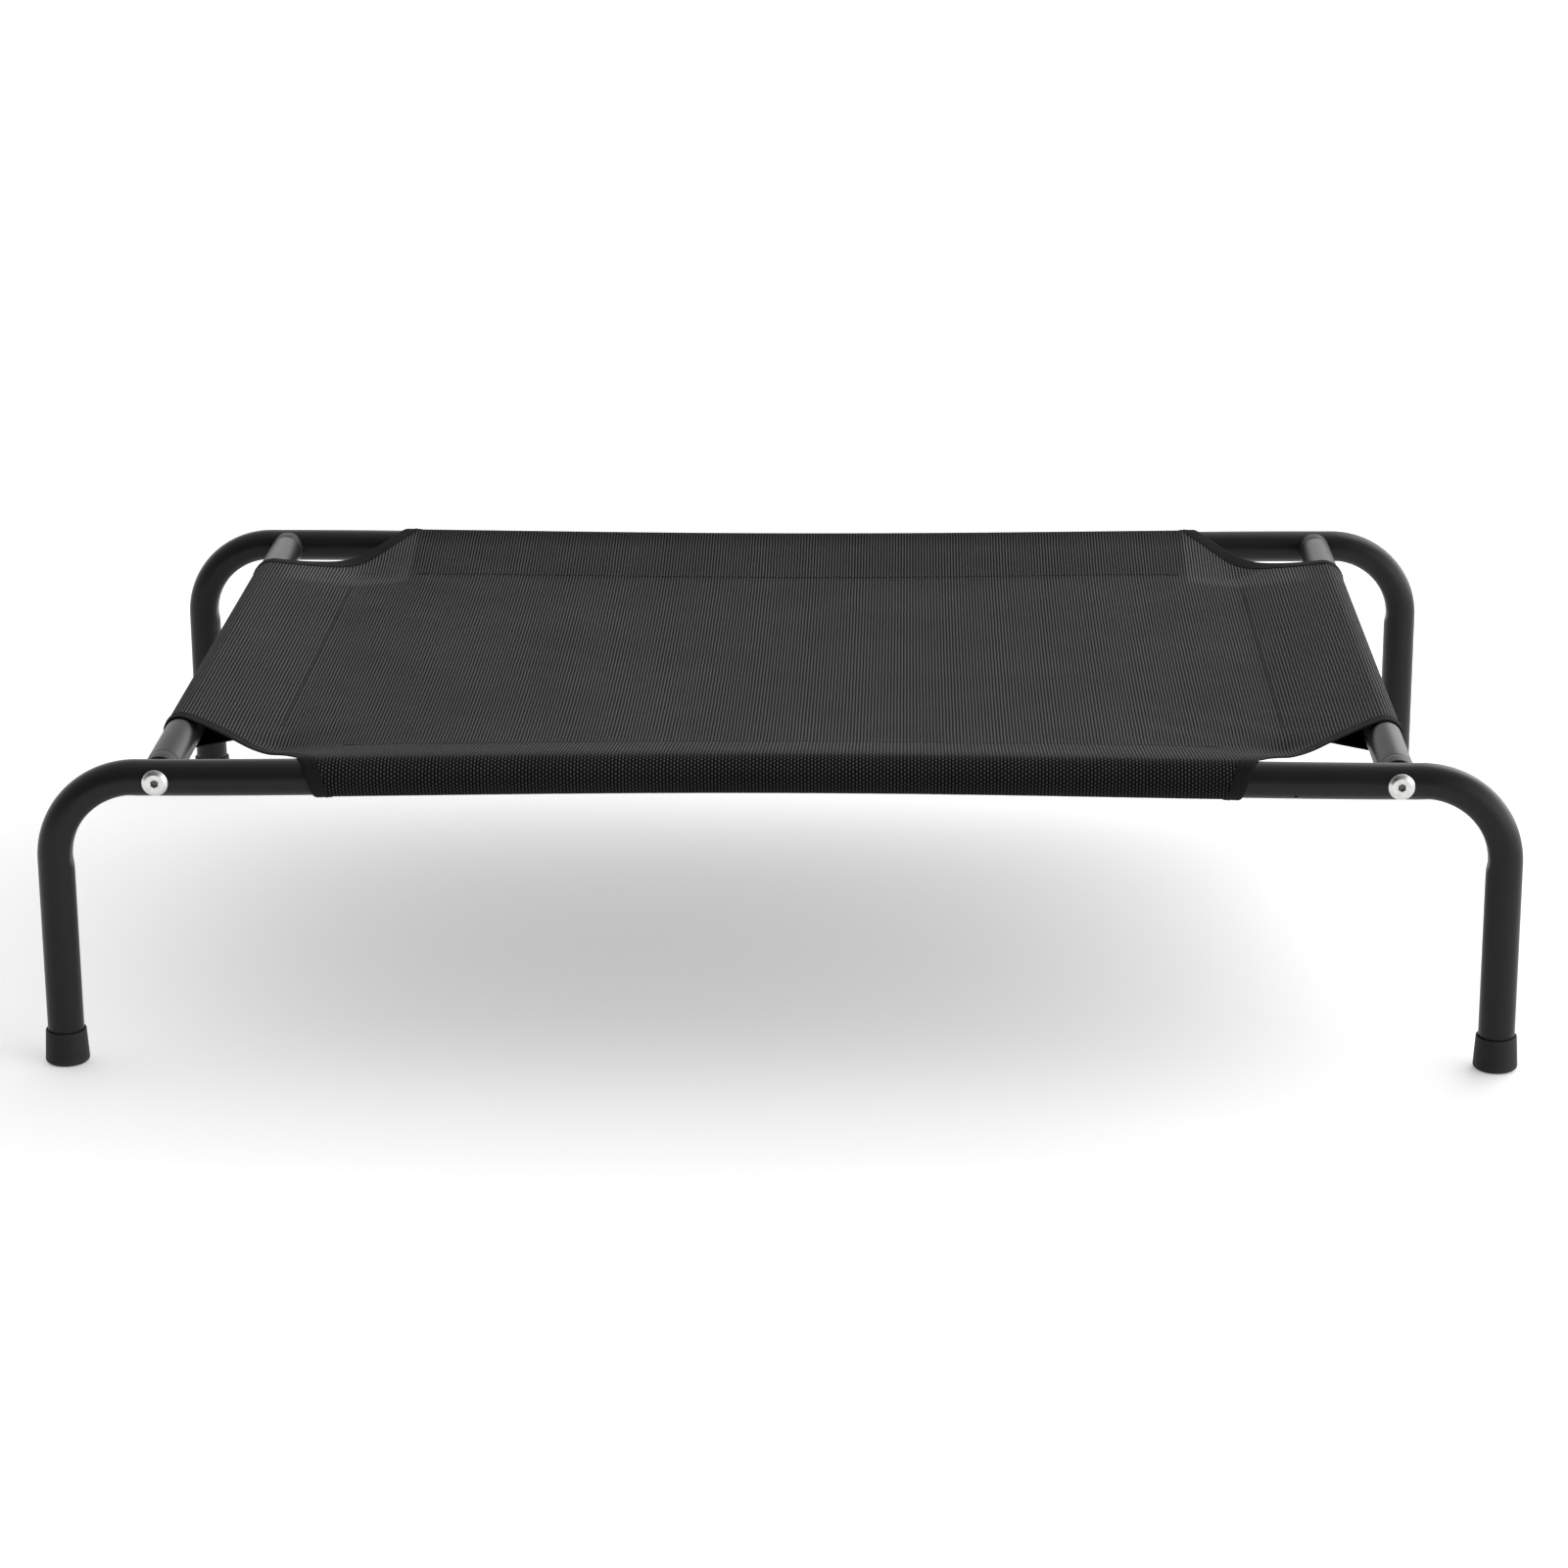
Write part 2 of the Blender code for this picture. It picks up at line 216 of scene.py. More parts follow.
def carve(obj, cutters, sharp=35):
    """Takes the cutters out of the object for good."""
    for cutter in cutters:
        boolean = obj.modifiers.new("cut", "BOOLEAN")
        boolean.operation = "DIFFERENCE"
        boolean.solver = "EXACT"
        boolean.object = cutter
    bpy.context.view_layer.update()
    graph = bpy.context.evaluated_depsgraph_get()
    mesh = bpy.data.meshes.new_from_object(obj.evaluated_get(graph), depsgraph=graph)
    obj.modifiers.clear()
    obj.data = mesh
    for cutter in cutters:
        bpy.data.objects.remove(cutter)
    cleaned(obj)
    mesh.shade_smooth()
    mesh.set_sharp_from_angle(angle=math.radians(sharp))
    return obj


def rounded(profile, radius, closed=False, steps=3):
    """The profile with its corners off the axis turned into short curves."""
    count = len(profile)
    result = []
    for index, corner in enumerate(profile):
        corner = Vector(corner)
        ends = not closed and index in (0, count - 1)
        if ends or corner.x == 0:
            result.append(corner)
            continue
        before = Vector(profile[index - 1]) - corner
        after = Vector(profile[(index + 1) % count]) - corner
        reach = min(radius, 0.45 * before.length, 0.45 * after.length)
        first = corner + reach * before.normalized()
        last = corner + reach * after.normalized()
        for step in range(steps + 1):
            t = step / steps
            result.append((1 - t) ** 2 * first + 2 * t * (1 - t) * corner + t**2 * last)
    return result


def turned(name, profile, material, closed=False, sides=64, sharp=35):
    """A solid turned about Z from (radius, height) points."""
    points, rings = [], []
    for radius, height in profile:
        if radius < 1e-7:
            rings.append([len(points)] * sides)
            points.append((0, 0, height))
            continue
        rings.append([len(points) + side for side in range(sides)])
        for side in range(sides):
            angle = 2 * math.pi * side / sides
            points.append((radius * math.cos(angle), radius * math.sin(angle), height))
    pairs = list(zip(rings, rings[1:] + rings[:1])) if closed else list(zip(rings, rings[1:]))
    faces = []
    for ring, after in pairs:
        for side in range(sides):
            turn = (side + 1) % sides
            corners = [ring[side], ring[turn], after[turn], after[side]]
            faces.append(list(dict.fromkeys(corners)))
    faces = [face for face in faces if len(face) > 2]
    return cleaned(mesh_object(name, points, faces, material, sharp=sharp))


def sweep(rings):
    """Points and faces of a closed tube wall, from rings of outer and of inner points."""
    outer, inner = rings
    count, sides, _ = outer.shape
    points = np.concatenate([outer.reshape(-1, 3), inner.reshape(-1, 3)])
    shift = count * sides
    faces = []
    for row in range(count - 1):
        for side in range(sides):
            turn = (side + 1) % sides
            a, b = row * sides + side, row * sides + turn
            faces.append((a, b, b + sides, a + sides))
            faces.append((shift + a, shift + a + sides, shift + b + sides, shift + b))
    for start, flip in ((0, False), ((count - 1) * sides, True)):
        for side in range(sides):
            a, b = start + side, start + (side + 1) % sides
            face = (a, a + shift, b + shift, b)
            faces.append(face[::-1] if flip else face)
    return points, faces


def put(obj, slot, *nodes):
    """Hands a piece to the frame: puts it in its body and hides the CAD nodes it stands for. slot
    is not used.
    """
    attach(obj, BODY)
    if nodes:
        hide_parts(*nodes)
    return obj


# ---------------------------------------------------------------- material helpers


def new_material(name):
    material = bpy.data.materials.new(name)
    material.use_nodes = True
    return material, material.node_tree, material.node_tree.nodes["Principled BSDF"]


def add(tree, kind, inputs=(), **settings):
    """A node with its settings, and its inputs given by name or number as a value or a socket."""
    made = tree.nodes.new(kind)
    for key, value in settings.items():
        setattr(made, key, value)
    for key, value in dict(inputs).items():
        feed(tree, made.inputs[key], value)
    return made


def feed(tree, socket, value):
    if isinstance(value, bpy.types.NodeSocket):
        tree.links.new(value, socket)
    else:
        socket.default_value = value


def calc(tree, operation, *values):
    return add(tree, "ShaderNodeMath", enumerate(values), operation=operation).outputs[0]


def noise(tree, place, scale, detail=2.0, roughness=0.5):
    inputs = {"Vector": place, "Scale": scale, "Detail": detail, "Roughness": roughness}
    return add(tree, "ShaderNodeTexNoise", inputs).outputs["Fac"]


def spread(tree, value, low, high, start=0.0, end=1.0):
    """value from start to end becomes low to high."""
    inputs = {"Value": value, 1: start, 2: end, 3: low, 4: high}
    return add(tree, "ShaderNodeMapRange", inputs).outputs[0]


def shade(tree, factor, dark, light):
    """A colour between two colours."""
    ramp = add(tree, "ShaderNodeMix", {0: factor}, data_type="RGBA")
    ramp.inputs[6].default_value = (*dark, 1)
    ramp.inputs[7].default_value = (*light, 1)
    return ramp.outputs[2]


def bump(tree, height, distance, strength):
    inputs = {"Height": height, "Distance": distance, "Strength": strength}
    return add(tree, "ShaderNodeBump", inputs).outputs[0]


def object_place(tree):
    return add(tree, "ShaderNodeTexCoord").outputs["Object"]


def cloth_place(tree):
    return add(tree, "ShaderNodeUVMap", uv_map="cloth").outputs[0]


# ---------------------------------------------------------------- materials


def powder_coat():
    """Matt black powder coat: fine orange peel, cloudy gloss and a few dusty, rubbed places."""
    material, tree, shader = new_material("powder_coat")
    place = object_place(tree)
    cloud = noise(tree, place, 9.0, 4.0, 0.6)
    peel = noise(tree, place, 900.0, 3.0, 0.6)
    dust = spread(tree, noise(tree, place, 38.0, 6.0, 0.7), 0.0, 1.0, 0.58, 0.80)
    tone = calc(tree, "ADD", calc(tree, "MULTIPLY", cloud, 0.5), calc(tree, "MULTIPLY", dust, 0.5))
    colour = shade(tree, tone, (0.0070,) * 3, (0.0150, 0.0150, 0.0155))
    feed(tree, shader.inputs["Base Color"], colour)
    feed(tree, shader.inputs["Roughness"], spread(tree, tone, 0.31, 0.46))
    shader.inputs["Specular IOR Level"].default_value = 0.20
    feed(tree, shader.inputs["Normal"], bump(tree, peel, 0.00008, 0.55))
    return material


def moulded_plastic():
    material, tree, shader = new_material("moulded_plastic")
    place = object_place(tree)
    grain = noise(tree, place, 1400.0, 2.0)
    cloud = noise(tree, place, 60.0, 3.0)
    feed(tree, shader.inputs["Base Color"], shade(tree, cloud, (0.008,) * 3, (0.016,) * 3))
    feed(tree, shader.inputs["Roughness"], spread(tree, cloud, 0.42, 0.56))
    shader.inputs["Specular IOR Level"].default_value = 0.20
    feed(tree, shader.inputs["Normal"], bump(tree, grain, 0.00006, 0.5))
    return material


def foot_rubber():
    """Dull black rubber, a little greyer where it meets the floor."""
    material, tree, shader = new_material("foot_rubber")
    place = object_place(tree)
    height = add(tree, "ShaderNodeSeparateXYZ", {0: place}).outputs["Z"]
    low = spread(tree, height, 1.0, 0.0, 0.0, 0.007)
    mottle = noise(tree, place, 220.0, 5.0, 0.65)
    grain = noise(tree, place, 1600.0, 2.0)
    dust = calc(tree, "MULTIPLY", low, mottle)
    tone = calc(tree, "ADD", calc(tree, "MULTIPLY", mottle, 0.25), dust)
    feed(tree, shader.inputs["Base Color"], shade(tree, tone, (0.009,) * 3, (0.034, 0.033, 0.032)))
    feed(tree, shader.inputs["Roughness"], spread(tree, tone, 0.55, 0.80))
    shader.inputs["Specular IOR Level"].default_value = 0.20
    feed(tree, shader.inputs["Normal"], bump(tree, grain, 0.0001, 0.5))
    return material


def plated_steel(name, colour, low, high, mark_scale):
    """Bright plating with turned rings round the bolt's axis, dull in its socket and painted dark
    there as shade.
    """
    material, tree, shader = new_material(name)
    shader.inputs["Metallic"].default_value = 1.0
    place = object_place(tree)
    parts = add(tree, "ShaderNodeSeparateXYZ", {0: place})
    x, y = (calc(tree, "ABSOLUTE", parts.outputs[axis]) for axis in "XY")
    off_x = calc(tree, "SUBTRACT", x, CROSSBAR_X)
    off_z = calc(tree, "SUBTRACT", parts.outputs["Z"], RAIL_Z)
    squares = (calc(tree, "MULTIPLY", off, off) for off in (off_x, off_z))
    radius = calc(tree, "SQRT", calc(tree, "ADD", *squares))
    in_socket = calc(tree, "LESS_THAN", radius, SOCKET_R + 0.0001)
    face = RAIL_Y + BOLT_FACE
    sunk = spread(tree, y, 1.0, 0.0, face - 0.0008, face - 0.0002)
    shaded_socket = calc(tree, "MULTIPLY", in_socket, sunk)
    cloud = noise(tree, place, 260.0, 4.0)
    marks = noise(tree, place, mark_scale, 3.0, 0.7)
    rings = calc(tree, "SINE", calc(tree, "MULTIPLY", radius, 2 * math.pi / RING_PITCH))
    relief = calc(tree, "ADD", marks, calc(tree, "MULTIPLY", rings, 0.25))
    clouded = calc(tree, "ADD", 0.5, calc(tree, "MULTIPLY", cloud, 0.5))
    # painted shade: the tone in the bolt's socket falls to a sixth
    tone = calc(tree, "MULTIPLY", clouded, spread(tree, shaded_socket, 1.0, 0.16))
    feed(tree, shader.inputs["Base Color"], shade(tree, tone, (0.02,) * 3, colour))
    polish = spread(tree, cloud, low, high, 0.3, 0.7)
    rough = calc(tree, "ADD", polish, calc(tree, "MULTIPLY", shaded_socket, 0.25))
    feed(tree, shader.inputs["Roughness"], rough)
    feed(tree, shader.inputs["Normal"], bump(tree, relief, 0.00004, 0.35))
    return material


def mesh_cloth():
    """Plain weave of coated yarn: thick warp ribs along Y, finer weft along X, gaps painted dark as
    shade.

    It has painted light at the rear corners, for the floor seen through the one layer where no
    return flap lies behind it, and painted shade where it turns over the side rails.
    """
    material, tree, shader = new_material("mesh_cloth")
    place = object_place(tree)
    parts = add(tree, "ShaderNodeSeparateXYZ", {0: cloth_place(tree)})
    across = calc(tree, "DIVIDE", parts.outputs["X"], WARP_PITCH)
    along = calc(tree, "DIVIDE", parts.outputs["Y"], WEFT_PITCH)
    sway = noise(tree, place, 55.0, 2.0)
    across = calc(tree, "ADD", across, calc(tree, "MULTIPLY", sway, 0.30))

    def yarn(place, other, cover, crown_height, crimp_height):
        """Height of the yarns in the middle of each unit of place, woven over and under."""
        off = calc(tree, "ABSOLUTE", calc(tree, "SUBTRACT", calc(tree, "FRACT", place), 0.5))
        share = calc(tree, "DIVIDE", off, cover / 2)
        slope = calc(tree, "SUBTRACT", 1.0, calc(tree, "MULTIPLY", share, share))
        crown = calc(tree, "SQRT", calc(tree, "MAXIMUM", slope, 0.0))
        side = calc(tree, "COSINE", calc(tree, "MULTIPLY", calc(tree, "FLOOR", place), math.pi))
        wave = calc(tree, "SINE", calc(tree, "MULTIPLY", other, math.pi))
        crimp = calc(tree, "MULTIPLY", calc(tree, "MULTIPLY", wave, side), crimp_height)
        raised = calc(tree, "ADD", calc(tree, "MULTIPLY", crown, crown_height), crimp)
        inside = calc(tree, "LESS_THAN", share, 1.0)
        return calc(tree, "MULTIPLY", calc(tree, "ADD", raised, 2.0), inside)

    outwards = calc(tree, "ABSOLUTE", parts.outputs["Y"])
    crimp = spread(tree, outwards, 0.50, 0.85, RAIL_Y - 0.020, RAIL_Y)
    warp = yarn(across, along, cover=0.60, crown_height=1.25, crimp_height=crimp)
    weft = yarn(along, across, cover=0.80, crown_height=0.2, crimp_height=-0.15)
    height = calc(tree, "MAXIMUM", warp, weft)
    # painted shade and highlight: the tone follows the yarn height, crowns light and the gaps
    # between yarns near black, with deeper crimp and so more contrast on the sleeves
    lit = calc(tree, "POWER", spread(tree, height, 0.0, 1.0, 2.0, 3.9), 1.3)
    cloud = noise(tree, place, 14.0, 4.0, 0.6)
    strand = noise(tree, place, 420.0, 3.0, 0.6)
    broad, fine = calc(tree, "MULTIPLY", cloud, 0.5), calc(tree, "MULTIPLY", strand, 0.7)
    uneven = calc(tree, "ADD", broad, fine)
    # painted shade: darker on the band where the cloth rises to the rails and on round them, full
    # tone again on the return flap
    rising = spread(tree, outwards, 1.0, 0.58, RAIL_Y - 0.030, RAIL_Y - 0.004)
    falling = spread(tree, outwards, 1.0, 0.60, RAIL_Y + 0.012, RAIL_Y + 0.021)
    turned_over_shade = calc(tree, "MULTIPLY", rising, falling)
    flap = spread(tree, outwards, 0.3, 1.0, RAIL_Y + 0.036, RAIL_Y + 0.050)
    painted_rail_shade = calc(tree, "MAXIMUM", turned_over_shade, flap)
    # painted light: the rear corners past the crossbar sleeves, where the cloth is one layer, made
    # paler for the bright floor seen through it
    aside = calc(tree, "ABSOLUTE", parts.outputs["X"])
    slanted = calc(tree, "ADD", parts.outputs["Y"], calc(tree, "MULTIPLY", aside, SINGLE_SLANT))
    past_sleeve = spread(tree, aside, 0.0, 1.0, SINGLE_X, SINGLE_X + 0.002)
    in_corner = spread(tree, slanted, 0.0, 0.7, SINGLE_FROM, SINGLE_FROM + 0.012)
    off_bar = spread(tree, aside, 1.0, 0.0, CROSSBAR_X - 0.025, CROSSBAR_X - 0.008)
    see_through_light = calc(tree, "MULTIPLY", calc(tree, "MULTIPLY", past_sleeve, in_corner), off_bar)
    lighter = calc(tree, "ADD", uneven, calc(tree, "ADD", see_through_light, 0.4))
    tone = calc(tree, "MULTIPLY", calc(tree, "MULTIPLY", lit, painted_rail_shade), lighter)
    feed(tree, shader.inputs["Base Color"], shade(tree, tone, (0.001,) * 3, (0.124, 0.124, 0.128)))
    feed(tree, shader.inputs["Roughness"], spread(tree, strand, 0.55, 0.80))
    shader.inputs["Specular IOR Level"].default_value = 0.02
    feed(tree, shader.inputs["Normal"], bump(tree, height, 0.00022, 1.0))
    return material


def binding_tape():
    """Ribbed woven tape, the ribs across it, painted darker in the grooves between them as shade.
    """
    material, tree, shader = new_material("binding_tape")
    parts = add(tree, "ShaderNodeSeparateXYZ", {0: cloth_place(tree)})
    rib_waves, cross_waves = 2 * math.pi / TAPE_RIB_PITCH, 2 * math.pi / TAPE_CROSS_PITCH
    ribs = calc(tree, "SINE", calc(tree, "MULTIPLY", parts.outputs["X"], rib_waves))
    cross = calc(tree, "SINE", calc(tree, "MULTIPLY", parts.outputs["Y"], cross_waves))
    height = calc(tree, "ADD", ribs, calc(tree, "MULTIPLY", cross, 0.35))
    place = object_place(tree)
    cloud = noise(tree, place, 60.0, 4.0)
    # painted shade: the tone follows the rib height, darker in the grooves
    raised = calc(tree, "MULTIPLY", spread(tree, height, 0.0, 1.0, -1.3, 1.3), 0.4)
    tone = calc(tree, "ADD", raised, calc(tree, "MULTIPLY", cloud, 0.5))
    feed(tree, shader.inputs["Base Color"], shade(tree, tone, (0.004,) * 3, (0.020, 0.020, 0.021)))
    feed(tree, shader.inputs["Roughness"], spread(tree, cloud, 0.60, 0.80))
    shader.inputs["Specular IOR Level"].default_value = 0.04
    feed(tree, shader.inputs["Normal"], bump(tree, height, 0.00010, 0.8))
    return material


def sewing_thread():
    material, tree, shader = new_material("sewing_thread")
    place = object_place(tree)
    twist = noise(tree, place, 1900.0, 2.0)
    feed(tree, shader.inputs["Base Color"], shade(tree, twist, (0.003,) * 3, (0.012,) * 3))
    feed(tree, shader.inputs["Roughness"], spread(tree, twist, 0.60, 0.80))
    shader.inputs["Specular IOR Level"].default_value = 0.15
    feed(tree, shader.inputs["Normal"], bump(tree, twist, 0.00010, 0.7))
    return material


# ---------------------------------------------------------------- frame


def rail_bow(x):
    """How far the sling's pull draws a side rail inwards at x."""
    share = np.minimum(np.abs(x) / CROSSBAR_X, 1)
    return RAIL_BOW * (1 - share**2) ** 2


def ease(value, start, end):
    """Rises smoothly from 0 at start to 1 at end."""
    t = min(max((value - start) / (end - start), 0), 1)
    return t * t * (3 - 2 * t)


def half_side_frame():
    """Stations from the middle of the front rail to the foot of the right leg.

    Each is (axis point, direction to the inside of the bend, how far the bend presses it in).
    """
    stations = []
    bend_x = LEG_X - BEND_R
    coarse, fine, fine_from, fine_to = 0.010, 0.0035, 0.33, 0.435
    for x in [*np.arange(0, fine_from, coarse), *np.arange(fine_from, fine_to, fine), bend_x]:
        flat = ease(x - bend_x, *BEND_PRESSED)
        stations.append(((x, -RAIL_Y + rail_bow(x), RAIL_Z), (0, 0, -1), flat))
    bend_steps = 36
    for step in range(1, bend_steps + 1):
        angle = math.pi / 2 * step / bend_steps
        inside = (-math.sin(angle), 0, -math.cos(angle))
        point = (bend_x - BEND_R * inside[0], -RAIL_Y, RAIL_Z - BEND_R - BEND_R * inside[2])
        stations.append((point, inside, ease(BEND_R * angle, *BEND_PRESSED)))
    top = RAIL_Z - BEND_R
    foot = top - LEG_END
    for drop in [*np.arange(0.001, 0.018, 0.001), *np.arange(0.02, foot, 0.012), foot]:
        flat = 1 - ease(drop, *LEG_PRESSED)
        stations.append(((LEG_X, -RAIL_Y, top - drop), (-1, 0, 0), flat))
    return stations


def tube_section(radius, flat):
    """(inward, sideways) points of the tube's outline, its inner side pressed in by a bend."""
    angles = 2 * np.pi * np.arange(TUBE_SIDES) / TUBE_SIDES
    inward, sideways = radius * np.cos(angles), radius * np.sin(angles)
    limit = radius - FLAT_DEPTH * flat
    soft = FLAT_BLEND * flat + 1e-9
    pressed = 0.5 * (inward + limit - np.sqrt((inward - limit) ** 2 + soft**2)) + 0.25 * soft
    inward = np.where(inward > 0, np.minimum(inward, pressed), inward)
    return inward, sideways * (1 + FLAT_WIDENING * flat)


def side_frame(material, turn, name):
    """A side frame: one bent tube with its wall, bolt holes and vent hole."""
    right = half_side_frame()
    left = [((-p[0], p[1], p[2]), (-n[0], n[1], n[2]), f) for p, n, f in reversed(right[1:])]
    stations = left + right
    axis = np.array([station[0] for station in stations])
    tangents = np.gradient(axis, axis=0)
    tangents /= np.linalg.norm(tangents, axis=1)[:, None]
    rings = []
    for radius in (TUBE_R, TUBE_R - TUBE_WALL):
        ring = []
        for point, tangent, (_, inside, flat) in zip(axis, tangents, stations):
            inside = np.array(inside, float)
            inside -= tangent * inside.dot(tangent)
            inside /= np.linalg.norm(inside)
            sideways = np.cross(tangent, inside)
            a, b = tube_section(radius, flat)
            ring.append(point + np.outer(a, inside) + np.outer(b, sideways))
        rings.append(np.array(ring))
    points, faces = sweep(rings)
    obj = cleaned(mesh_object(name, points, faces, material))
    holes = [
        prism(BOLT_R + GAP, 4 * TUBE_R, (side * CROSSBAR_X, -RAIL_Y, RAIL_Z), (0, 1, 0))
        for side in (-1, 1)
    ]
    away = Vector((0, -math.cos(VENT_ANGLE), -math.sin(VENT_ANGLE)))
    vent = Vector((VENT_X, -RAIL_Y + float(rail_bow(VENT_X)), RAIL_Z)) + TUBE_R * away
    carve(obj, [*holes, prism(VENT_R, TUBE_R, vent, away, 24)])
    obj.data.transform(Matrix.Rotation(turn, 4, "Z"))
    return obj


def crossbar(name, side, material):
    """A straight tube with softly broken ends."""
    break_edge = 0.0005
    inner_r = TUBE_R - TUBE_WALL
    profile = [
        (TUBE_R, -CROSSBAR_END), (TUBE_R, CROSSBAR_END),
        (inner_r, CROSSBAR_END), (inner_r, -CROSSBAR_END),
    ]
    profile = rounded(profile, break_edge, closed=True)
    obj = turned(name, profile, material, closed=True, sides=TUBE_SIDES)
    turn = Matrix.Rotation(-math.pi / 2, 4, "X")
    obj.data.transform(Matrix.Translation((side * CROSSBAR_X, 0, RAIL_Z)) @ turn)
    return obj


def joint_place(side_x, side_y):
    """From a joint's own frame, +Z outwards and the rail's axis along X, to the bed."""
    turn = Matrix.Rotation(-side_y * math.pi / 2, 4, "X")
    return Matrix.Translation((side_x * CROSSBAR_X, side_y * RAIL_Y, RAIL_Z)) @ turn


def saddle_plug(name, material):
    """A collar hollowed to sit on the rail, and an insert with a pocket for the nut."""
    rounding = 0.0006
    bore = BOLT_R + GAP
    collar_end = RAIL_Y - CROSSBAR_END - GAP
    insert_r = TUBE_R - TUBE_WALL - GAP
    profile = [
        (bore, -COLLAR_START), (TUBE_R, -COLLAR_START), (TUBE_R, -collar_end),
        (insert_r, -collar_end), (insert_r, -PLUG_END), (bore, -PLUG_END),
    ]
    obj = turned(name, rounded(profile, rounding, closed=True), material, closed=True)
    saddle = prism(TUBE_R + GAP, 4 * TUBE_R, (0, 0, 0), (1, 0, 0), 96)
    pocket = prism(NUT_POCKET_R, 2 * NUT_POCKET_DEPTH, (0, 0, -PLUG_END), (0, 0, 1), 6)
    return carve(obj, [saddle, pocket])


def connector_bolt(name, material):
    """A flat round head with a bevelled rim and a hexagon socket, on a plain shank."""
    under = TUBE_R + GAP
    rim = BOLT_FACE - BOLT_RIM
    tip, rounding = 0.001, 0.00025
    lead_in_r, lead_in_depth = SOCKET_R + 0.0002, 0.0003
    profile = [
        (0, BOLT_FACE), (BOLT_FLAT_R, BOLT_FACE), (BOLT_HEAD_R - 0.0004, rim),
        (BOLT_HEAD_R, rim - 0.0003), (BOLT_HEAD_R, under + 0.0002),
        (BOLT_HEAD_R - 0.0003, under), (BOLT_R, under),
        (BOLT_R, tip - BOLT_END), (BOLT_R - tip, -BOLT_END), (0, -BOLT_END),
    ]
    obj = turned(name, rounded(profile, rounding), material, sides=96, sharp=24)
    socket = prism(SOCKET_R, 2 * SOCKET_DEPTH, (0, 0, BOLT_FACE), (0, 0, 1), 6)
    lead_in = prism(lead_in_r, 2 * lead_in_depth, (0, 0, BOLT_FACE), (0, 0, 1), 6)
    return carve(obj, [socket, lead_in], sharp=24)


def foot_cap(name, material):
    """A cup that widens to its foot, with a softly rounded lip."""
    rounding = 0.0008
    bore = TUBE_R + GAP
    profile = [
        (0, CAP_FLOOR), (bore, CAP_FLOOR), (bore, CAP_HEIGHT), (CAP_TOP_R, CAP_HEIGHT),
        (CAP_TOP_R + 0.0001, CAP_HEIGHT - CAP_LIP), (CAP_FOOT_R, CAP_EDGE),
        (CAP_FOOT_R - CAP_EDGE, 0), (0, 0),
    ]
    return turned(name, rounded(profile, rounding, steps=5), material, sides=72, sharp=50)


def build_frame():
    steel = powder_coat()
    plastic = moulded_plastic()
    rubber = foot_rubber()
    nickel = plated_steel("bright_plating", (0.86, 0.85, 0.83), 0.16, 0.26, 900.0)
    zinc = plated_steel("zinc_plating", (0.74, 0.75, 0.77), 0.28, 0.42, 500.0)
    put(side_frame(steel, 0, "front_side_tube"), "frame_steel", "front_side_frame")
    put(side_frame(steel, math.pi, "rear_side_tube"), "frame_steel", "rear_side_frame")
    for side_x, across in ((-1, "left"), (1, "right")):
        bar = crossbar(f"{across}_cross_tube", side_x, steel)
        put(bar, "frame_steel", f"{across}_crossbar")
        for side_y, along in ((-1, "front"), (1, "rear")):
            corner = f"{along}_{across}"
            place = joint_place(side_x, side_y)
            plug = saddle_plug(f"{corner}_saddle", plastic)
            plug.data.transform(place)
            put(plug, "plug_plastic", f"saddle_plug_{corner}")
            bolt = connector_bolt(f"{corner}_bolt", nickel)
            bolt.data.transform(place)
            put(bolt, "bolt_bright", f"connector_bolt_{corner}")
            cap = foot_cap(f"{corner}_foot", rubber)
            cap.data.transform(Matrix.Translation((side_x * LEG_X, side_y * RAIL_Y, 0)))
            put(cap, "foot_rubber", f"foot_cap_{corner}")
            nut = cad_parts[f"captive_nut_{corner}"]
            nut.data.materials.clear()
            nut.data.materials.append(zinc)


# ---------------------------------------------------------------- sling surface


def lift(inwards, reach):
    """How high the cloth is at a distance inwards from a tube: 1 on its top, 0 beyond the seam."""
    slope = math.asin(CLOTH_R / math.hypot(reach, SEAM_DROP)) - math.atan2(SEAM_DROP, reach)
    sine, cosine = math.sin(slope), math.cos(slope)
    on_tube = np.sqrt(np.maximum(CLOTH_R**2 - inwards**2, 0))
    height = np.where(inwards < CLOTH_R * sine, on_tube, (CLOTH_R - inwards * sine) / cosine)
    level = (height - SEAM_DROP) / (CLOTH_R - SEAM_DROP)
    return 0.5 * (level + np.sqrt(level**2 + CREASE**2))


def near(a, b, place, reach):
    """1 at this place in each corner of the sling, falling to nothing round it."""
    off_a = (np.abs(a) - place[0]) / reach[0]
    off_b = (np.abs(b) - place[1]) / reach[1]
    return np.exp(-(off_a**2) - off_b**2)


def ripples(a, b):
    """Unevenness of the stretched cloth, none on the tubes: waves, and folds at the corners."""
    calm = np.clip(1 - (np.abs(a) / CROSSBAR_X) ** 6, 0, 1)
    calm = calm * np.clip(1 - (np.abs(b) / RAIL_Y) ** 6, 0, 1)
    broad = np.sin(9.0 * a + 2.3) * np.sin(12.0 * b + 0.7) + 0.6 * np.sin(17.0 * a - 11.0 * b)
    folds = np.sin(FOLD_WAVES * (np.abs(a) * 0.62 - np.abs(b) * 0.78))
    at_corner = near(a, b, FOLD_PLACE, FOLD_REACH)
    return calm * (WAVE_HEIGHT * broad + FOLD_HEIGHT * at_corner * folds)


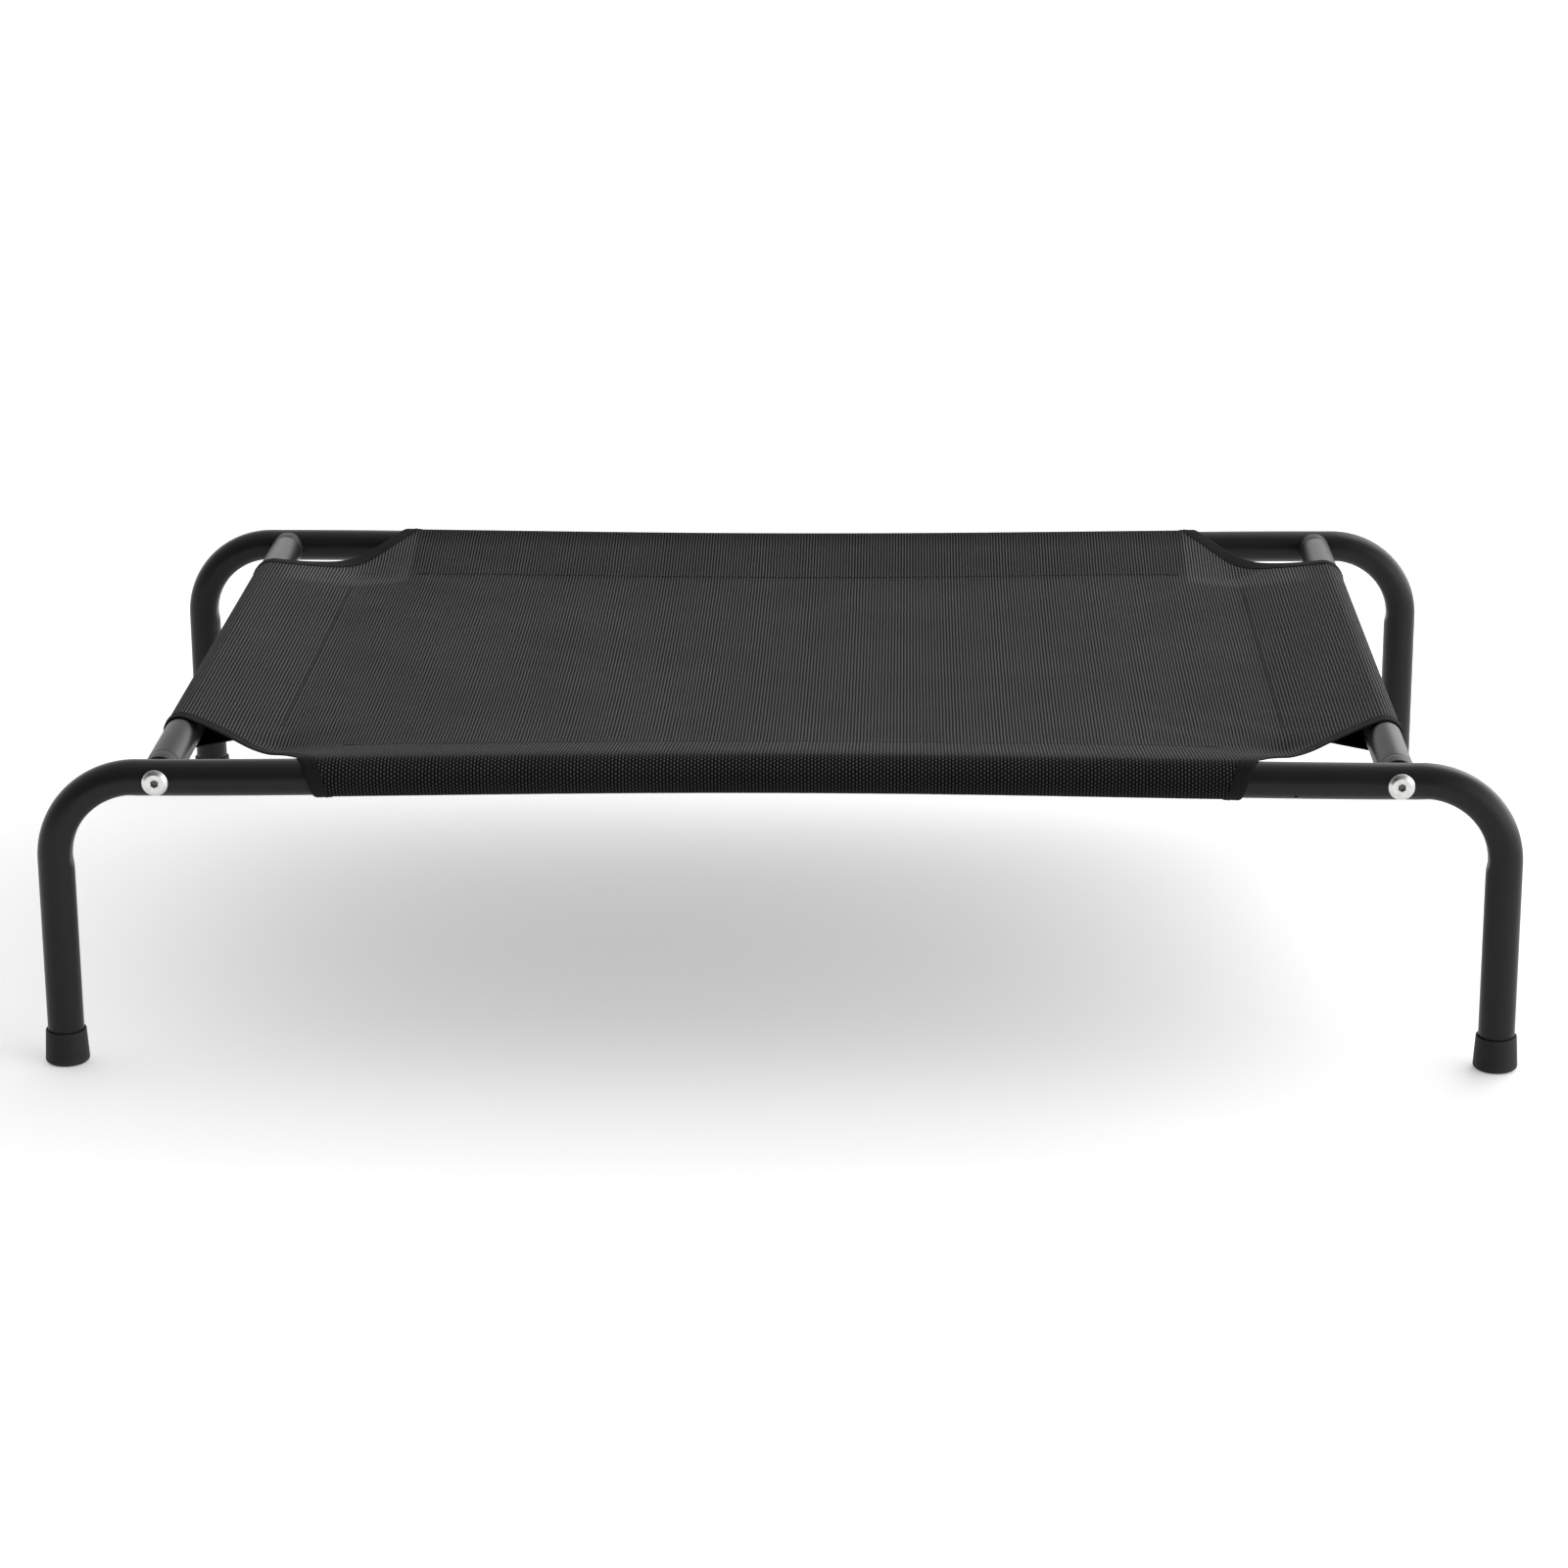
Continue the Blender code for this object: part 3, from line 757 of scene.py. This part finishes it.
def panel_height(a, b):
    """The height of the sling's top layer over an unrolled place."""
    bow = rail_bow(a)
    lift_x = lift(CROSSBAR_X - np.abs(a), REACH_X)
    lift_y = lift((RAIL_Y - np.abs(b)) * (1 - bow / RAIL_Y), REACH_Y)
    rise = 1 - (1 - np.minimum(lift_x, 1)) * (1 - np.minimum(lift_y, 1))
    span_x, span_y = CROSSBAR_X - REACH_X, RAIL_Y - REACH_Y
    sag = np.maximum(0, 1 - (a / span_x) ** 2) * np.maximum(0, 1 - (b / span_y) ** 2)
    loose = near(a, b, DROOP_PLACE, DROOP_REACH)
    droop = CORNER_DROOP * loose * (1 - np.minimum(lift_x, 1)) * (1 - np.minimum(lift_y, 1))
    level = RAIL_Z + SEAM_DROP + rise * (CLOTH_R - SEAM_DROP)
    return level - SAG * sag - droop + ripples(a, b)


def wrap(way, reach):
    """(inwards, up) from a tube's axis after this way round it, and whether it is on the flap."""
    angle = np.minimum(way / CLOTH_R, np.pi)
    run = np.maximum(way - np.pi * CLOTH_R, 0)
    up = run / reach * (SEAM_DROP - FLAP_CLEARANCE + CLOTH_R) + CLOTH_R * np.cos(angle)
    return run - CLOTH_R * np.sin(angle), up, run > 0


def cloth_point(a, b):
    """Where the unrolled places (a, b) lie on the bed."""
    top_a = np.clip(a, -CROSSBAR_X, CROSSBAR_X)
    top_b = np.clip(b, -RAIL_Y, RAIL_Y)
    in_x, up_x, flap_x = wrap(np.maximum(np.abs(a) - CROSSBAR_X, 0), REACH_X)
    in_y, up_y, flap_y = wrap(np.maximum(np.abs(b) - RAIL_Y, 0), REACH_Y)
    x = top_a - np.sign(a) * in_x
    y = top_b * (1 - rail_bow(top_a) / RAIL_Y) - np.sign(b) * in_y
    z = panel_height(top_a, top_b) + up_x + up_y - 2 * CLOTH_R
    flat_b = y / (1 - rail_bow(x) / RAIL_Y)
    under = panel_height(x, flat_b) - FLAP_CLEARANCE
    z = np.where(flap_x | flap_y, np.minimum(z, under), z)
    return np.stack([x, y, z], axis=-1)


def cloth_normal(a, b):
    """Which way the cloth's outer face looks at (a, b)."""
    along_a = cloth_point(a + PROBE_STEP, b) - cloth_point(a - PROBE_STEP, b)
    along_b = cloth_point(a, b + PROBE_STEP) - cloth_point(a, b - PROBE_STEP)
    normal = np.cross(along_a, along_b)
    return normal / np.linalg.norm(normal, axis=-1, keepdims=True)


def edge_path():
    """The bound edge of the +a +b corner on the unrolled plane, evenly spaced.

    It runs along the crossbar sleeve's end, over the scoop and along the rail sleeve's end.
    """
    way_x, way_y = math.pi * CLOTH_R + REACH_X, math.pi * CLOTH_R + REACH_Y
    t = np.linspace(0, 1, 60)[:, None]
    first = np.array([CROSSBAR_X + way_x, SCOOP_Y - TAPER_Y])
    start = np.array([CROSSBAR_X, SCOOP_Y])
    pull = np.array(SCOOP_PULL) + np.array([0, float(rail_bow(SCOOP_PULL[0]))])
    end = np.array([SCOOP_X, RAIL_Y])
    slant = np.array([SCOOP_X - TAPER_SLANT, RAIL_Y + TAPER_START])
    last = np.array([SCOOP_X - TAPER_X, RAIL_Y + way_y])
    scoop = (1 - t) ** 2 * start + 2 * t * (1 - t) * pull + t**2 * end
    side = (1 - t) ** 2 * end + 2 * t * (1 - t) * slant + t**2 * last
    path = np.concatenate([first + t * (start - first), scoop[1:], side[1:]])
    steps = np.linalg.norm(np.diff(path, axis=0), axis=1)
    along = np.concatenate([[0], np.cumsum(steps)])
    even = np.arange(0, along[-1], EDGE_STEP)
    path = np.stack([np.interp(even, along, path[:, k]) for k in (0, 1)], axis=1)
    reach = 18
    weights = np.exp(-((np.arange(-reach, reach + 1) / EDGE_SMOOTHING) ** 2))
    before = 2 * path[0] - path[reach:0:-1]
    beyond = 2 * path[-1] - path[-2 : -reach - 2 : -1]
    padded = np.concatenate([before, path, beyond])
    smooth = [np.convolve(padded[:, k], weights / weights.sum(), "valid") for k in (0, 1)]
    return np.stack(smooth, axis=1)


EDGE = edge_path()


def edge_a(b):
    """How far the panel reaches in a at |b|."""
    top = (EDGE[:, 0] <= CROSSBAR_X + EDGE_MARGIN) & (EDGE[:, 1] <= RAIL_Y + EDGE_MARGIN)
    return np.minimum(np.interp(np.abs(b), EDGE[top, 1], EDGE[top, 0]), CROSSBAR_X)


def cloth_piece(name, a, b, material):
    """A cloth of one thickness over a grid of unrolled places, both rising along the grid."""
    rows, columns = a.shape
    middle, normal = cloth_point(a, b), cloth_normal(a, b)
    skins = [middle + 0.5 * CLOTH * normal, middle - 0.5 * CLOTH * normal]
    points = np.concatenate([skin.reshape(-1, 3) for skin in skins])
    uvs = np.tile(np.stack([a, b], axis=-1).reshape(-1, 2), (2, 1))
    index = np.arange(rows * columns).reshape(rows, columns)
    quads = np.stack([index[:-1, :-1], index[:-1, 1:], index[1:, 1:], index[1:, :-1]], axis=-1)
    quads = quads.reshape(-1, 4)
    under = quads[:, ::-1] + rows * columns
    rim = np.concatenate([index[0], index[1:, -1], index[-1, -2::-1], index[-2:0:-1, 0]])
    after = np.roll(rim, -1)
    sides = np.stack([rim, rim + rows * columns, after + rows * columns, after], axis=-1)
    faces = np.concatenate([quads, under, sides]).tolist()
    return mesh_object(name, points, faces, material, uvs, sharp=50)


def panel_cloth(material):
    starts = EDGE[EDGE[:, 0] <= CROSSBAR_X][0, 1]
    half = [*np.linspace(0, starts, 40), *np.linspace(starts, RAIL_Y, 42)[1:]]
    rows = np.array([-b for b in reversed(half[1:])] + half)
    share = np.linspace(-1, 1, 2 * round(CROSSBAR_X / CLOTH_STEP) + 1)
    b = np.repeat(rows[:, None], len(share), axis=1)
    a = share[None, :] * edge_a(rows)[:, None]
    return cloth_piece("sling_cloth", a, b, material)


def sleeve_ways(reach):
    """Ways round a tube, from its top, and on to the seam."""
    arc = np.linspace(0, math.pi * CLOTH_R, ARC_STEPS + 1)
    flat = np.linspace(0, reach, round(reach / CLOTH_STEP) + 1)[1:] + math.pi * CLOTH_R
    return np.concatenate([arc, flat])


def rail_sleeve(name, side, material):
    ways = sleeve_ways(REACH_Y)
    past = EDGE[:, 1] >= RAIL_Y - EDGE_MARGIN
    limit = np.interp(RAIL_Y + ways, EDGE[past, 1], EDGE[past, 0])
    share = np.linspace(-1, 1, 2 * round(SCOOP_X / CLOTH_STEP) + 1)
    a = share[None, :] * limit[:, None]
    b = np.repeat((side * (RAIL_Y + ways))[:, None], len(share), axis=1)
    return cloth_piece(name, *((a, b) if side > 0 else (a[::-1], b[::-1])), material)


def crossbar_sleeve(name, side, material):
    ways = sleeve_ways(REACH_X)
    past = EDGE[:, 0] >= CROSSBAR_X - EDGE_MARGIN
    limit = np.interp(CROSSBAR_X + ways, EDGE[past, 0][::-1], EDGE[past, 1][::-1])
    share = np.linspace(-1, 1, 2 * round(SCOOP_Y / CLOTH_STEP) + 1)
    b = share[:, None] * limit[None, :]
    a = np.repeat((side * (CROSSBAR_X + ways))[None, :], len(share), axis=0)
    return cloth_piece(name, *((a, b) if side > 0 else (a[:, ::-1], b[:, ::-1])), material)


# ---------------------------------------------------------------- sewing


def corner_binding(name, side_x, side_y, material):
    """Tape folded over the bound edge of one corner, from one seam end to the other.

    Its outline, as (way inwards from the edge, height over the cloth's middle), runs over the top
    to the nose, back below the cloth, and round the inside of the fold.
    """
    path = EDGE[:: round(TAPE_STEP / EDGE_STEP)]
    tangent = np.gradient(path, axis=0)
    tangent /= np.linalg.norm(tangent, axis=1)[:, None]
    inwards = np.stack([-tangent[:, 1], tangent[:, 0]], axis=1)
    flat = np.linspace(TAPE_WIDTH, TAPE_TURN, 6)
    outline = [(d, TAPE_OUTER) for d in flat]
    outline += [(0.0, 0.00065), (-0.7 * TAPE_NOSE, 0.0004), (-TAPE_NOSE, 0.0)]
    outline += [(d, -h) for d, h in reversed(outline[:-1])]
    outline += [(d, -TAPE_INNER) for d in flat[:-1]] + [(0.0006, 0.0)]
    outline += [(d, TAPE_INNER) for d in reversed(flat[:-1])]
    inset = np.array([d for d, _ in outline])
    offset = np.array([h for _, h in outline])
    a = side_x * (path[:, 0, None] + inwards[:, 0, None] * inset)
    b = side_y * (path[:, 1, None] + inwards[:, 1, None] * inset)
    points = cloth_point(a, b) + offset[None, :, None] * cloth_normal(a, b)
    rows, count = a.shape
    way = np.arange(rows) * TAPE_STEP
    uvs = np.stack([np.repeat(way[:, None], count, axis=1), np.tile(inset, (rows, 1))], axis=-1)
    faces = []
    for row in range(rows - 1):
        for side in range(count):
            turn = (side + 1) % count
            first, second = row * count + side, row * count + turn
            faces.append((first, second, second + count, first + count))
    faces += [tuple(range(count)), tuple(range((rows - 1) * count, rows * count))]
    return cleaned(
        mesh_object(name, points.reshape(-1, 3), faces, material, uvs.reshape(-1, 2), sharp=50)
    )


def stitches(name, lines, height, thread_r, material):
    """Rows of sewn stitches on both faces of the cloth, at this height from its middle.

    Each line is a run of unrolled places.
    """
    points, faces = [], []
    sides, stations = 6, ((-0.5, 0.35), (-0.32, 0.85), (0.0, 1.0), (0.32, 0.85), (0.5, 0.35))
    for line in lines:
        line = np.asarray(line, float)
        steps = np.linalg.norm(np.diff(line, axis=0), axis=1)
        along = np.concatenate([[0], np.cumsum(steps)])
        count = max(round(along[-1] / STITCH_PITCH), 1)
        middles = (np.arange(count) + 0.5) * along[-1] / count
        a, b = (np.interp(middles, along, line[:, k]) for k in (0, 1))
        ahead = [np.interp(middles + PROBE_STEP, along, line[:, k]) for k in (0, 1)]
        centre, normal = cloth_point(a, b), cloth_normal(a, b)
        heading = cloth_point(*ahead) - centre
        heading /= np.linalg.norm(heading, axis=1)[:, None]
        across = np.cross(normal, heading)
        for c, n, h, s in zip(centre, normal, heading, across):
            for face in (1, -1):
                start = len(points)
                for place, size in stations:
                    spine = c + h * place * STITCH_LENGTH + n * face * height
                    for side in range(sides):
                        angle = 2 * math.pi * side / sides
                        out = math.cos(angle) * s + 0.8 * math.sin(angle) * n
                        points.append(spine + thread_r * size * out)
                last = start + (len(stations) - 1) * sides
                for low in range(start, last, sides):
                    high = low + sides
                    for side in range(sides):
                        turn = (side + 1) % sides
                        faces.append((low + side, low + turn, high + turn, high + side))
                faces.append(tuple(range(start, start + sides)))
                faces.append(tuple(range(last, last + sides)))
    return cleaned(mesh_object(name, points, faces, material, sharp=60))


def seam_lines():
    """The sewn lines that join each return flap to the panel."""
    lines = {}
    end_a = SCOOP_X - TAPER_X - SEAM_MARGIN
    end_b = SCOOP_Y - TAPER_Y - SEAM_MARGIN
    rail, bar = np.linspace(-end_a, end_a, 80), np.linspace(-end_b, end_b, 60)
    inwards = REACH_Y - SEAM_MARGIN
    depth = RAIL_Y - inwards / (1 - rail_bow(rail) / RAIL_Y)
    seam_a = CROSSBAR_X - REACH_X + SEAM_MARGIN
    for side, along, across in ((-1, "front", "left"), (1, "rear", "right")):
        lines[along] = np.stack([rail, side * depth], axis=1)
        lines[across] = np.stack([np.full(len(bar), side * seam_a), bar], axis=1)
    return lines


def bartack(a, b, along_a):
    """A short dense bar of thread across the end of a seam."""
    length, pitch, count = 0.009, 0.0008, 5
    lines = []
    for index in range(count):
        shift = (index - (count - 1) / 2) * pitch
        if along_a:
            lines.append([(a - length / 2, b + shift), (a + length / 2, b + shift)])
        else:
            lines.append([(a + shift, b - length / 2), (a + shift, b + length / 2)])
    return lines


def build_sling():
    cloth, tape, thread = mesh_cloth(), binding_tape(), sewing_thread()
    panel = put(panel_cloth(cloth), "mesh_cloth", "sling_panel")
    for side, along, across in ((-1, "front", "left"), (1, "rear", "right")):
        rail = rail_sleeve(f"{along}_sleeve_cloth", side, cloth)
        put(rail, "mesh_cloth", f"{along}_sleeve")
        bar = crossbar_sleeve(f"{across}_sleeve_cloth", side, cloth)
        put(bar, "mesh_cloth", f"{across}_sleeve")
    for side_x, across in ((-1, "left"), (1, "right")):
        for side_y, along in ((-1, "front"), (1, "rear")):
            corner = f"{along}_{across}"
            piece = corner_binding(f"{corner}_binding", side_x, side_y, tape)
            put(piece, "binding_tape", f"corner_binding_{corner}")
    seams = seam_lines()
    for word, line in seams.items():
        obj = stitches(f"{word}_seam_stitches", [line], CLOTH / 2, SEAM_THREAD_R, thread)
        put(obj, "binding_tape")
    tape_lines, tacks = [], []
    path = EDGE[::2]
    tangent = np.gradient(path, axis=0)
    tangent /= np.linalg.norm(tangent, axis=1)[:, None]
    sewn_edge = path + TAPE_SEAM * np.stack([-tangent[:, 1], tangent[:, 0]], axis=1)
    for side_x in (-1, 1):
        for side_y in (-1, 1):
            tape_lines.append(sewn_edge * (side_x, side_y))
            end_a, end_b = seams["rear"][-1]
            tacks += bartack(side_x * end_a, side_y * end_b, True)
            end_a, end_b = seams["right"][-1]
            tacks += bartack(side_x * end_a, side_y * end_b, False)
    bound = stitches("binding_stitches", tape_lines, TAPE_OUTER, EDGE_THREAD_R, thread)
    tacked = stitches("seam_bartacks", tacks, CLOTH / 2, SEAM_THREAD_R, thread)
    bound, tacked = put(bound, "binding_tape"), put(tacked, "binding_tape")


# ---------------------------------------------------------------- stage, light and camera


def build_floor():
    material, tree, shader = new_material("studio_floor")
    cloud = noise(tree, object_place(tree), 3.0)
    colour = shade(tree, cloud, (0.86, 0.86, 0.865), (0.88,) * 3)
    feed(tree, shader.inputs["Base Color"], colour)
    shader.inputs["Roughness"].default_value = 0.85
    shader.inputs["Specular IOR Level"].default_value = 0.1
    shader.inputs["Emission Color"].default_value = (1, 1, 1, 1)
    shader.inputs["Emission Strength"].default_value = 0.30
    reach, rings, sides = 60.0, 24, 64
    points, faces = [(0, 0, 0)], []
    for ring in range(1, rings + 1):
        radius = reach * (ring / rings) ** 3
        for side in range(sides):
            angle = 2 * math.pi * side / sides
            points.append((radius * math.cos(angle), radius * math.sin(angle), 0))
    for side in range(sides):
        turn = (side + 1) % sides
        faces.append((0, 1 + side, 1 + turn))
        for ring in range(rings - 1):
            low = 1 + ring * sides
            faces.append((low + side, low + sides + side, low + sides + turn, low + turn))
    mesh_object("studio_floor", points, faces, material)


def build_light():
    """A white studio, bright behind and to the right and dark in front, and one soft lamp."""
    world = bpy.data.worlds.new("studio")
    bpy.context.scene.world = world
    world.use_nodes = True
    tree = world.node_tree
    tree.nodes.clear()
    place = add(tree, "ShaderNodeTexCoord").outputs["Generated"]
    parts = add(tree, "ShaderNodeSeparateXYZ", {0: place})
    x, y, z = (parts.outputs[axis] for axis in "XYZ")

    def band(value, start, end, strength):
        """strength where value is past end, easing to nothing at start."""
        inputs = {"Value": value, 1: start, 2: end, 3: 0.0, 4: strength}
        return add(tree, "ShaderNodeMapRange", inputs, interpolation_type="SMOOTHSTEP").outputs[0]

    back = band(y, -0.10, 0.9, 1.30)
    right = band(x, 0.05, 0.9, 3.2)
    left = band(x, -0.45, -1.0, 0.45)
    walls = calc(tree, "ADD", calc(tree, "ADD", back, right), calc(tree, "ADD", left, 0.03))
    up = band(z, 0.25, 0.80, 1.0)
    fade = calc(tree, "SUBTRACT", 1.0, up)
    overhead = calc(tree, "ADD", band(y, -0.65, 0.35, 0.64), band(x, -0.5, 0.6, 0.28))
    ceiling = calc(tree, "MULTIPLY", up, calc(tree, "ADD", overhead, 0.20))
    strength = calc(tree, "ADD", calc(tree, "MULTIPLY", walls, fade), ceiling)
    studio = add(tree, "ShaderNodeBackground", {"Color": (1, 1, 1, 1), "Strength": strength})
    white = add(tree, "ShaderNodeBackground", {"Color": (1, 1, 1, 1), "Strength": 1.05})
    seen = add(tree, "ShaderNodeLightPath").outputs["Is Camera Ray"]
    mixed = add(tree, "ShaderNodeMixShader", {0: seen, 1: studio.outputs[0], 2: white.outputs[0]})
    add(tree, "ShaderNodeOutputWorld", {0: mixed.outputs[0]})
    bpy.context.scene.view_settings.view_transform = "Standard"
    lamp = bpy.data.lights.new("softbox", "AREA")
    lamp.shape = "DISK"
    lamp.size = 0.9
    lamp.energy = 6.0
    softbox = bpy.data.objects.new("softbox", lamp)
    stand = Vector((0.95, 0.75, 1.05))
    aim = Vector((0.1, 0.0, 0.2)) - stand
    turn = aim.to_track_quat("-Z", "Y").to_matrix().to_4x4()
    softbox.matrix_world = Matrix.Translation(stand) @ turn
    bpy.context.scene.collection.objects.link(softbox)


def build_camera():
    data = bpy.data.cameras.new("camera")
    data.lens = 96.52
    data.sensor_width = 36.0
    data.clip_start = 0.05
    data.clip_end = 200.0
    camera = bpy.data.objects.new("camera", data)
    yaw, pitch, roll = 0.0299, 0.3057, -0.0059
    camera.matrix_world = (
        Matrix.Translation((0.08634, -3.03047, 1.05846))
        @ Matrix.Rotation(yaw, 4, "Z")
        @ Matrix.Rotation(math.pi / 2 - pitch, 4, "X")
        @ Matrix.Rotation(roll, 4, "Z")
    )
    bpy.context.scene.collection.objects.link(camera)
    bpy.context.scene.camera = camera


build_camera()
build_light()
build_floor()
build_frame()
build_sling()
